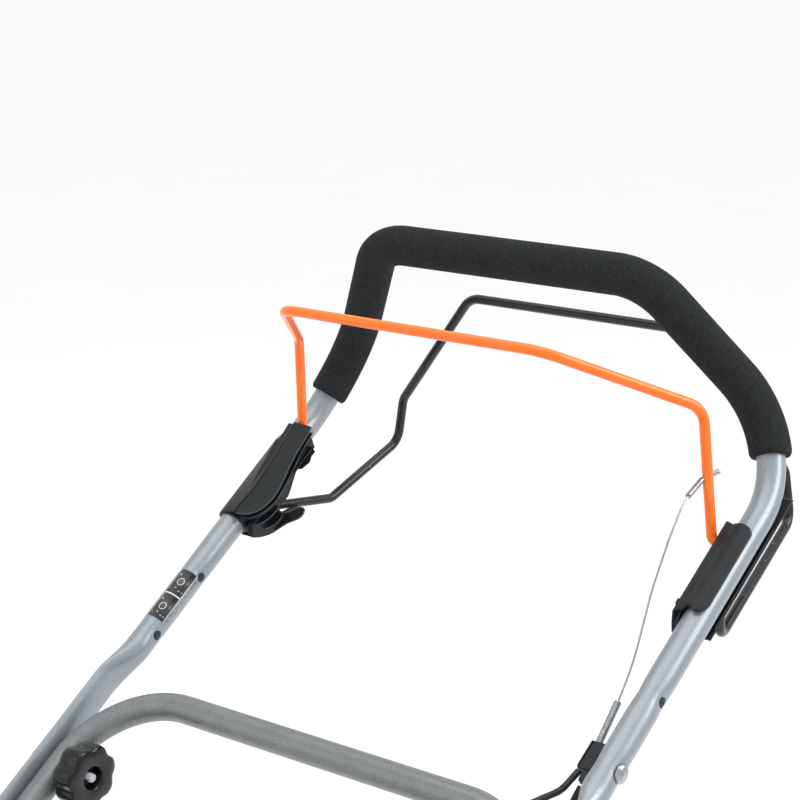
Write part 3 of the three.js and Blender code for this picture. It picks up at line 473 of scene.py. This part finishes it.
def foam_grip():
    """A soft sleeve from past the middle of one lower bend to past the other's."""
    total = length_of(HANDLE_LINE)
    run = np.cumsum(np.linalg.norm(np.diff(HANDLE_LINE, axis=0), axis=1))
    first_bend = run[0] + (run[BEND_STEPS] - run[0]) / 2
    ends = first_bend - FOAM["right_extra"], total - first_bend + FOAM["left_extra"]
    line = spaced(stretch_of(HANDLE_LINE, *ends), 2.5)
    run = np.concatenate([[0], np.cumsum(np.linalg.norm(np.diff(line, axis=0), axis=1))])
    from_end = np.minimum(run, run[-1] - run)
    radius = FOAM["radius"] - FOAM["round"] * np.clip(1 - from_end / FOAM["end"], 0, 1) ** 2
    lumps = [FOAM["lump"] * noise.noise(Vector(p) * 0.02) for p in line]
    points = tube_points(line, radius + np.array(lumps), 48)
    grip = add_mesh("foam_sleeve", on_handle(points), ring_faces(len(line), 48), "foam", "upper_handle", 60,
                    ["foam_grip"])


foam_grip()

# ---------------------------------------------------------------- control bails
BAIL_ROD = 4
STOP_HALF = [(209.7, 106, 4), (199, 106, 4), (194, 57, 94), (121, 113, 192)]
STOP_LINE = bent(STOP_HALF + [(-x, s, h) for x, s, h in reversed(STOP_HALF)], [5, 20, 27, 27, 20, 5], 12)
EYE = (-196.6, 82, 48)


def flatten_eye(points):
    """The left leg is pressed flat round the hole that holds the brake wire."""
    p = points.copy()
    (x0, s0, h0), (x1, s1, h1) = STOP_HALF[1:3]
    along = (p[..., 2] - h0) / (h1 - h0)
    near = (p[..., 0] < 0) * np.exp(-(((p[..., 2] - EYE[2]) / 11) ** 4))
    axis_x = -(x0 + (x1 - x0) * along)
    p[..., 0] = np.where(near > 0.01, axis_x + (p[..., 0] - axis_x) * (1 - 0.12 * near), p[..., 0])
    axis_s = s0 + (s1 - s0) * along
    p[..., 1] = axis_s + (p[..., 1] - axis_s) * (1 + 0.3 * near)
    return np.where(near[..., None] > 0.01, p, points)


add_rod("stop_bail_rod", spaced(STOP_LINE, 4), BAIL_ROD, "orange_coat", "stop_bail", 24, ["stop_bail"],
        flatten_eye)

PIVOT = (150, -18.5)
KNEE, NECK, BAR = (196, 11, -77), (190, -11, -45), (105, -56, 50)


def flipped(corner):
    return (-corner[0], corner[1], corner[2])


DRIVE_CORNERS = [
    (230, *PIVOT), (214, *PIVOT), (204, 100, -60), KNEE, NECK, BAR,
    flipped(BAR), flipped(NECK), flipped(KNEE), (-218, 157, -41), (-221, *PIVOT), (-204, *PIVOT),
]
DRIVE_LINE = bent(DRIVE_CORNERS, [6, 12, 16, 16, 22, 22, 16, 16, 10, 6], 10)
add_rod("drive_bail_rod", spaced(DRIVE_LINE, 4), BAIL_ROD, "black_coat", "drive_bail", 24, ["drive_bail"])

# ---------------------------------------------------------------- lower handle
LOWER_LINE = bent([(210, 1085, 0), (210, 366, 0), (-210, 366, 0), (-210, 1085, 0)], 75, 24)
add_rod("lower_tube", spaced(LOWER_LINE, 6), TUBE, "grey_paint", "lower_handle", 48, ["lower_handle"])


# ---------------------------------------------------------------- shapes made of several solids
class Shape:
    """Points and faces of several solids that become one piece."""

    def __init__(self):
        self.points = []
        self.faces = []

    def add(self, points, faces):
        start = len(self.points)
        self.points += [tuple(p) for p in np.asarray(points, float).reshape(-1, 3)]
        self.faces += [tuple(start + i for i in face) for face in faces]
        return self

    def prism(self, outline, low, high):
        """A plate over an outline of (x, s), between two heights that may depend on s."""
        low_of = low if callable(low) else lambda s: low
        high_of = high if callable(high) else lambda s: high
        n = len(outline)
        points = [(x, s, low_of(s)) for x, s in outline] + [(x, s, high_of(s)) for x, s in outline]
        return self.add(points, prism_faces(n))

    def across(self, outline, x0, x1):
        """A plate over an outline of (s, h), from x0 to x1."""
        points = [(x0, s, h) for s, h in outline] + [(x1, s, h) for s, h in outline]
        return self.add(points, prism_faces(len(outline)))

    def rod(self, line, radius, count=20):
        return self.add(tube_points(np.array(line, float), radius, count), ring_faces(len(line), count))

    def finish(self, name, slot, body, **options):
        return add_mesh(name, on_handle(self.points), self.faces, slot, body, **options)


def prism_faces(n):
    walls = [(i, (i + 1) % n, n + (i + 1) % n, n + i) for i in range(n)]
    return [tuple(reversed(range(n))), tuple(range(n, 2 * n))] + walls


def curve_through(points, steps=5):
    """A smooth line through points."""
    p = [np.array(q, float) for q in points]
    p = [2 * p[0] - p[1]] + p + [2 * p[-1] - p[-2]]
    out = []
    for a, b, c, d in zip(p[:-3], p[1:-2], p[2:-1], p[3:]):
        for k in range(steps):
            t = k / steps
            out.append(0.5 * (2 * b + (c - a) * t + (2 * a - 5 * b + 4 * c - d) * t * t
                              + (3 * b - a - 3 * c + d) * t ** 3))
    return [tuple(q) for q in out] + [tuple(p[-2])]


# ---------------------------------------------------------------- right lever bracket
FACE_END, FACE_LOW, FACE_RISE = 188, 15, 0.198


def face_height(s):
    return FACE_LOW + FACE_RISE * (FACE_END - s)


BASE_RISE = 0.16


def rising(offset):
    """Heights that rise towards the grip, from an offset at the face's lower end."""
    return lambda s: offset + BASE_RISE * (FACE_END - s)


RIM = curve_through([(182, 98), (181.3, 105), (182, 116), (182.4, 130), (181.3, 144), (180.4, 158),
                     (181.1, 167), (184.4, 175), (188.4, 180.4), (194.4, 184.7), (202, 187.3), (210, 188)], 4)
SEAM = [(200, 97), (201, 108), (202.3, 140), (205.2, 164), (212, 186)]


def seam_at(s):
    return np.interp(s, [q[1] for q in SEAM], [q[0] for q in SEAM])


def right_bracket():
    # The second shape collects thin lighter rods along the edges: painted highlights.
    body, rim_highlights = Shape(), Shape()

    def shelf(edge, back, height, thick):
        """A thin rib with a lighter rod along its outer edge, a painted highlight."""
        line = curve_through(edge, 4)
        body.prism(line + back, lambda s: height(s) - thick, height)
        rim_highlights.rod([(x, s, height(s) - 0.2) for x, s in line], 0.36, 8)

    shelf([(183.2, 99), (183.9, 110), (183.6, 122), (182.4, 136), (181.9, 146), (182.2, 157), (183, 165),
           (186, 173), (191.5, 180.4), (198.3, 185.6)], [(212, 187), (212, 112), (190, 112), (190, 99)],
          lambda s: face_height(s) - 6.6, 1.2)
    shelf([(184, 107.6), (185, 113), (186.8, 122), (187.7, 132), (188.3, 140), (188.6, 153), (190, 161),
           (193, 171), (199, 180)], [(212, 185), (212, 112), (190, 107.6)], rising(1.4), 1.2)
    shelf([(195, 156.4), (191.3, 163), (192.2, 172), (196.2, 180.5), (204, 185.6)], [(232, 187), (232, 156)],
          lambda s: -2.4, 1.2)
    shelf([(194, 158.4), (192.3, 165.7), (195.5, 174), (206.7, 181.7)], [(232, 184), (232, 158)],
          lambda s: -13.4, 1.2)
    shelf([(187.6, 141.4), (185.6, 147), (187.5, 153), (194.6, 160), (201.3, 171.3), (209.5, 178),
           (217, 180.6),
           (230, 181)], [(231, 142), (220.5, 142), (220.5, 160), (206, 160), (201, 150), (193, 141.4)],
          lambda s: -24.6, 1.4)
    face = curve_through(SEAM, 4)
    body.prism(RIM + face[::-1], lambda s: face_height(s) - 1.6, face_height)
    # A thin lighter rod along the face's rim, a painted highlight.
    rim_highlights.rod([(x, s, face_height(s) - 0.15) for x, s in RIM], 0.32, 8)
    body.prism([(190, 104.7), (186.5, 104.7), (180.6, 107.8), (181.7, 112.7), (180.3, 116.9), (180.2, 119),
                (184, 126), (190, 128)], rising(-0.6), rising(0.6))
    # A thin wall hides the stop bail's foot, and the core behind the shelves is set back from their edges.
    body.prism([(188.2, 99), (189.4, 99), (189.8, 128), (188.6, 128)], rising(0.2),
               lambda s: face_height(s) - 1.7)
    body.prism(curve_through([(192, 116), (193, 140), (193.5, 160), (198, 172), (204, 179), (212, 183.5)], 4)
               + [(212, 114)], lambda s: max(-6, 12 - 0.6 * (s - 114)), lambda s: face_height(s) - 1.7)
    body.prism(curve_through([(203, 158), (203, 167), (207, 174), (215, 178), (231, 180)], 4)
               + [(231, 163), (209, 158)], -25, -2.6)
    body.prism([(220.5, 142), (231, 142), (231, 170), (220.5, 170)], -25, -11.6)
    body.rod([(221, 150, 0), (221, 188.5, 0)], 12.8, 40)
    lip = curve_through([(192, -9), (184, -17), (172, -25), (156, -31), (142, -40), (136, -41), (132, -39)],
                        3)
    jaw = curve_through([(132.4, -36.6), (137, -30.6), (142, -27.6), (150, -23.4), (154.6, -17.4), (155, -12),
                         (152, -6)], 3)
    body.across(lip + jaw + [(150, 0), (186, 0)], 200.6, 206.2)
    body.across([(88, -8), (86, 12), (97, 30), (118, 27), (118, -8)], 205, 209.4)
    # Thin lighter rods along the lip and jaw edges, painted highlights.
    for edge in (lip, jaw):
        rim_highlights.rod([(200.7, s, h) for s, h in edge], 0.34, 8)
    body.finish("bracket_right_body", "black_plastic", "upper_handle", bevel=0.3, smooth=30)
    rim_highlights.finish("bracket_right_rim_highlights", "black_plastic", "upper_handle", smooth=60, look=LOOKS["painted_highlight_rim"])


WING = {"radius": 13.2, "shoulder": 5, "flat_share": 0.45, "last_angle": math.radians(-8), "top": 97}


def right_wing():
    """The round outer side of the right bracket, from the face's seam to the tube's outer side."""
    stations, across, radius = 26, 18, WING["radius"]
    points = []
    for i in range(stations):
        for k in range(across):
            t = k / (across - 1)
            start = WING["top"] + WING["shoulder"] * math.sin(min(t * 1.4, 1) * math.pi / 2)
            s = start + (FACE_END - start) * i / (stations - 1)
            seam = np.array([seam_at(s), face_height(max(s, WING["top"]))]) - (LEG_X, 0)
            far = np.linalg.norm(seam)
            begin = math.atan2(seam[1], seam[0]) - math.acos(min(radius / far, 1))
            tangent = radius * np.array([math.cos(begin), math.sin(begin)])
            if t < WING["flat_share"]:
                q = seam + (tangent - seam) * t / WING["flat_share"]
            else:
                turned = (t - WING["flat_share"]) / (1 - WING["flat_share"])
                a = begin + (WING["last_angle"] - begin) * turned
                q = radius * np.array([math.cos(a), math.sin(a)])
            points.append((q[0] + LEG_X, s, q[1]))
    faces = [(i * across + k, i * across + k + 1, (i + 1) * across + k + 1, (i + 1) * across + k)
             for i in range(stations - 1) for k in range(across - 1)]
    wing = add_mesh("bracket_right_wing", on_handle(points), faces, "black_plastic", "upper_handle", 60,
                    ["lever_bracket_right"])
    thicken(wing, 1.6, rounded=True)


right_bracket()
right_wing()


# ---------------------------------------------------------------- left lever bracket
def left_bracket():
    """A saddle over the front of the left leg, with a flat cheek on its inner side."""
    angles = [132, 126, 118, 110, 102, 96, 90, 83, 76, 69, 63, 58]
    section = [(-LEG_X + 14.4 * math.cos(math.radians(a)), 14.4 * math.sin(math.radians(a))) for a in angles]
    starts = [99, 96.5, 94.5, 93.5, 93, 92.8, 92.8, 92.8, 93, 93, 93.2, 93.5]
    ends = [168, 171.5, 174.5, 175.5, 176, 176, 175.2, 173.8, 172.8, 173, 174.6, 176.5]
    section += [(-210, 11.9), (-206.6, 10.9), (-205.6, 9.4), (-205.4, 3), (-205.4, -4), (-205.6, -12)]
    starts += [92, 90.5, 90.5, 91, 92, 94]
    ends += [177, 177.5, 178, 183, 187, 181]
    rows = 20
    points = [(x, a + (b - a) * i / rows, h)
              for i in range(rows + 1) for (x, h), a, b in zip(section, starts, ends)]
    n = len(section)
    faces = [(i * n + k, i * n + k + 1, (i + 1) * n + k + 1, (i + 1) * n + k)
             for i in range(rows) for k in range(n - 1)]
    shell = add_mesh("bracket_left_shell", on_handle(points), faces, "black_plastic", "upper_handle", 50,
                     ["lever_bracket_left"])
    thicken(shell, 2.2, rounded=True)
    rest = Shape()
    rest.across([(100, -13.5), (100, 8), (174, 8), (184, 2), (180, -13.5)], -206.4, -209.6)
    rest.across([(141, -8), (141, -22), (145, -26), (172, -26), (180, -20), (180, -8)], -205.4, -212.4)
    rest.across([(42, -11.7), (40, -13.6), (180, -13.6), (180, -11.7)], -209, -230.6)
    for k in range(4):
        rest.rod([(-228.2 - 0.8 * k, 74, -12.6 + 0.9 * k), (-228.2 - 0.8 * k, 172, -12.6 + 0.9 * k)], 0.5, 10)
    rest.rod([(-204.2, 169, 8.6), (-207, 169, 8.6)], 3.2, 20)
    rest.rod([(-221, 102, 14.3), (-221, 150, 14.5)], 0.25, 8)
    rest.finish("bracket_left_cheek", "black_plastic", "upper_handle", bevel=0.35, smooth=30)


left_bracket()


# ---------------------------------------------------------------- star knobs and their bolts
KNOB = {"radius": 24.2, "lobe": 1.5, "hollow": 0.5, "lobes": 7, "turn": 0.4, "inset": 49}


def star_knob(side, name):
    """Seven soft lobes, a domed face and a deep recess for the bolt's end."""
    around = 112
    face = LEG_X - KNOB["inset"]
    profile = [  # share of the lobed radius, round radius, depth behind the face
        (0, 4.4, 9.5), (0, 8.0, 9.2), (0, 8.6, 5.0), (0, 8.9, 2.0), (0, 9.5, 0.9), (0, 11.0, 0.35),
        (0.35, 9.5, 0.2), (0.62, 6.2, 0.75), (0.86, 2.4, 1.5), (0.95, 0.9, 2.3), (0.985, 0.2, 3.4),
        (1.0, 0, 4.8), (1.0, 0, 12.0), (0.985, 0, 18.5), (0.95, 0, 20.6), (0.88, 0, 21.8), (0.5, 4, 22.0),
        (0, 10.0, 22.2), (0, 10.0, 23.5), (0, 9.4, 26.3), (0, 4.4, 26.3),
    ]
    points = []
    for share, plain, depth in profile:
        for k in range(around):
            a = 2 * math.pi * k / around
            wave = math.cos(KNOB["lobes"] * a + KNOB["turn"])
            r = share * (KNOB["radius"] + KNOB["lobe"] * wave - KNOB["hollow"] * wave * wave) + plain
            points.append((side * (face + depth), FOLD_S + r * math.cos(a), r * math.sin(a)))
    add_mesh(name, on_handle(points), ring_faces(len(profile), around, closed_ends=False, loop=True),
             "knob_plastic", name, 60, [name])


def threaded_bolt(side, name):
    """A coach bolt: round head outside, threaded shank ending in the knob's recess."""
    rings = [(173.2, 0.6), (173.2, 3.2), (174.0, 3.9)]
    rings += [(174.4 + 0.5 * k, 3.75 + (0.25 if k % 2 else -0.2)) for k in range(32)]
    rings += [(191, 4.0), (233.0, 4.0), (233.0, 9.0), (233.6, 9.0), (235.2, 8.2), (236.6, 6.0),
              (237.4, 3.0), (237.5, 0.5)]
    count = 28
    points = [(side * x, FOLD_S + r * math.cos(2 * math.pi * k / count),
               r * math.sin(2 * math.pi * k / count))
              for x, r in rings for k in range(count)]
    add_mesh(name + "_bolt", on_handle(points), ring_faces(len(rings), count), "zinc", "lower_handle", 35,
             [name])


for side, word in ((1, "right"), (-1, "left")):
    star_knob(side, "fold_knob_" + word)
    threaded_bolt(side, "fold_bolt_" + word)


# ---------------------------------------------------------------- cables and their fittings
BRAKE_WIRE = [(-196.4, 105, 55.3), (-197, 118, 57), (-198, 144, 51), (-198, 182, 35), (-198.2, 229, 7),
              (-199, 263, -1.6)]
wire = Shape().rod(bent(BRAKE_WIRE, 120, 12), 0.8, 12)
wire.rod([(-200.5, 73, 45.5), (-198.4, 79, 48), (-196, 82, 47)], 1.9, 16)
wire.rod(bent([(-196, 81, 46.6), (-194.6, 88, 50), (-196.4, 109, 56)], 6, 6), 2.2, 20)
wire.finish("brake_wire_hook", "zinc", "brake_wire", smooth=45, replaces=["brake_wire"])


def coil(start, end, radius, pitch, count=14):
    """The centre line of a close-wound spring sleeve."""
    start, end = np.array(start, float), np.array(end, float)
    length = np.linalg.norm(end - start)
    steps = int(length / pitch * count)
    u, v = sides_of(np.array([start, end]))
    t = np.arange(steps + 1) / steps
    a = t * length / pitch * 2 * math.pi
    ring = np.cos(a)[:, None] * u[0] + np.sin(a)[:, None] * v[0]
    return start + t[:, None] * (end - start) + radius * ring


FERRULE = [(-198.6, 256.5, -0.5), (-200.6, 290.6, -4)]
sleeve = Shape().rod(FERRULE, 2.3, 24)
sleeve.rod(coil(*FERRULE, radius=2.35, pitch=1.5), 0.62, 6)
sleeve.finish("ferrule_coil", "zinc", "upper_handle", smooth=60, replaces=["wire_ferrule"])

case = Shape()
case.prism([(-209.4, 291), (-196.4, 291), (-196.4, 314.6), (-209.4, 314.6)], -9, -1.2)
case.prism([(-209.4, 291.6), (-208.2, 291.6), (-208.2, 314), (-209.4, 314)], -1.4, -0.2)
case.prism([(-197.6, 291.6), (-196.4, 291.6), (-196.4, 314), (-197.6, 314)], -1.4, -0.2)
case.prism([(-208.8, 314), (-201.4, 314), (-202, 323.6), (-208, 323.6)], -7.8, -2.2)
case.finish("cable_case", "black_plastic", "upper_handle", bevel=0.5, smooth=30, replaces=["cable_block"])
rivet = Shape().rod([(-195.6, 306, -4), (-197.5, 306, -4)], 2.4, 20)
rivet.finish("case_rivet", "zinc", "upper_handle", bevel=0.5)

SHEATHS = {
    "brake_sheath": [(-198, 316, -4), (-196, 336, -1), (-189, 352, 6), (-182, 372, 16), (-184, 396, 18),
                     (-194.5, 420, 14.5), (-194.5, 955, 14.5), (-170, 1005, 30), (-112, 1015, 30)],
    "drive_sheath": [(-205, 326.2, -6), (-200, 340, -15), (-193, 356, -21), (-191, 400, -20),
                     (-195, 460, -14),
                     (-195, 700, -14), (-195, 960, -14), (-180, 990, -16), (-120, 1000, -16)],
}
for name, route in SHEATHS.items():
    line = spaced(bent(route, 30, 10), 3)
    ribs = 2.55 + 0.05 * np.sin(np.arange(len(line)) * 1.1)
    add_mesh(name + "_tube", on_handle(tube_points(line, ribs, 20)), ring_faces(len(line), 20), "rubber",
             "lower_handle", 60, [name])


def domed_head(name, centre, side, radius, slot, body, replaces):
    rings = [(0, 0.5 * radius), (0, radius), (0.5, radius), (1.4, 0.96 * radius), (2.5, 0.8 * radius),
             (3.4, 0.5 * radius), (3.7, 0.15 * radius)]
    count = 32
    x, s, h = centre
    points = [(x + side * out, s + r * math.cos(2 * math.pi * k / count),
               h + r * math.sin(2 * math.pi * k / count))
              for out, r in rings for k in range(count)]
    return add_mesh(name, on_handle(points), ring_faces(len(rings), count), slot, body, 50, replaces)


domed_head("leg_bolt_head", (-231.2, DIMPLES[1], 0), -1, 7.4, "zinc", "upper_handle", ["leg_bolt"])


# ---------------------------------------------------------------- picture label on the right leg
def on_leg(angle, s, lift):
    r = TUBE + lift
    return (LEG_X + r * math.cos(math.radians(angle)), s, r * math.sin(math.radians(angle)))


def patch(shape, a0, a1, s0, s1, lift, steps=10):
    """A thin curved panel on the leg's surface."""
    columns = [a0 + (a1 - a0) * k / steps for k in range(steps + 1)]
    points = [on_leg(a, s, lift) for s in (s0, s1) for a in columns]
    n = steps + 1
    shape.add(points, [(k, k + 1, n + k + 1, n + k) for k in range(steps)])


def stroke(shape, dots, width, lift):
    """A line drawn on the leg through dots of (angle, s)."""
    for (a0, s0), (a1, s1) in zip(dots[:-1], dots[1:]):
        along = np.array([(a1 - a0) * TUBE * math.pi / 180, s1 - s0])
        side = np.array([-along[1], along[0]]) / np.linalg.norm(along) * width / 2
        da, ds = side[0] / (TUBE * math.pi / 180), side[1]
        corners = [(a0 + da, s0 + ds), (a0 - da, s0 - ds), (a1 - da, s1 - ds), (a1 + da, s1 + ds)]
        shape.add([on_leg(a, s, lift) for a, s in corners], [(0, 1, 2, 3)])


LOOKS["label_black"] = material("label_black", (0.018, 0.019, 0.021), 0.35, coat=0.3, patch=40, grain=900,
                                bump=0.03)
LOOKS["label_white"] = material("label_white", (0.80, 0.81, 0.82), 0.4, second=(0.72, 0.73, 0.74), patch=200,
                                grain=900, bump=0.03)
LOOKS["label_grey"] = material("label_grey", (0.10, 0.105, 0.11), 0.4, second=(0.34, 0.36, 0.38), patch=500,
                               grain=900, bump=0.03)


def label():
    """Two black panels with plain line drawings and a strip of bars. It holds no lettering."""
    black = Shape()
    for s0, s1 in ((251, 275.4), (276.6, 301)):
        patch(black, 76, 153, s0, s1, 0.12)
    thicken(black.finish("label_panels", "black_plastic", "upper_handle", smooth=80,
                         look=LOOKS["label_black"]), 0.1)
    white = Shape()
    patch(white, 155, 157, 251, 301, 0.12, 2)
    patch(white, 76, 153, 275.5, 276.5, 0.12)
    for middle_s in (263, 289):
        loop = [(112 + 14 * math.cos(a), middle_s + 3.2 * math.sin(a))
                for a in np.linspace(0, 2 * math.pi, 17)]
        stroke(white, loop, 0.5, 0.2)
        stroke(white, [(84, middle_s + 8), (108, middle_s + 6.5), (128, middle_s + 8.5),
                       (146, middle_s + 8)], 0.55, 0.2)
        stroke(white, [(84, middle_s - 7), (96, middle_s - 6)], 0.55, 0.2)
    thicken(white.finish("label_lines", "silver_paint", "upper_handle", smooth=80,
                         look=LOOKS["label_white"]), 0.1)
    grey = Shape()
    for k in range(9):
        patch(grey, 161, 173, 253 + 5.2 * k, 256.4 + 5.2 * k, 0.12, 3)
    thicken(grey.finish("label_bars", "black_plastic", "upper_handle", smooth=80, look=LOOKS["label_grey"]),
            0.1)


label()
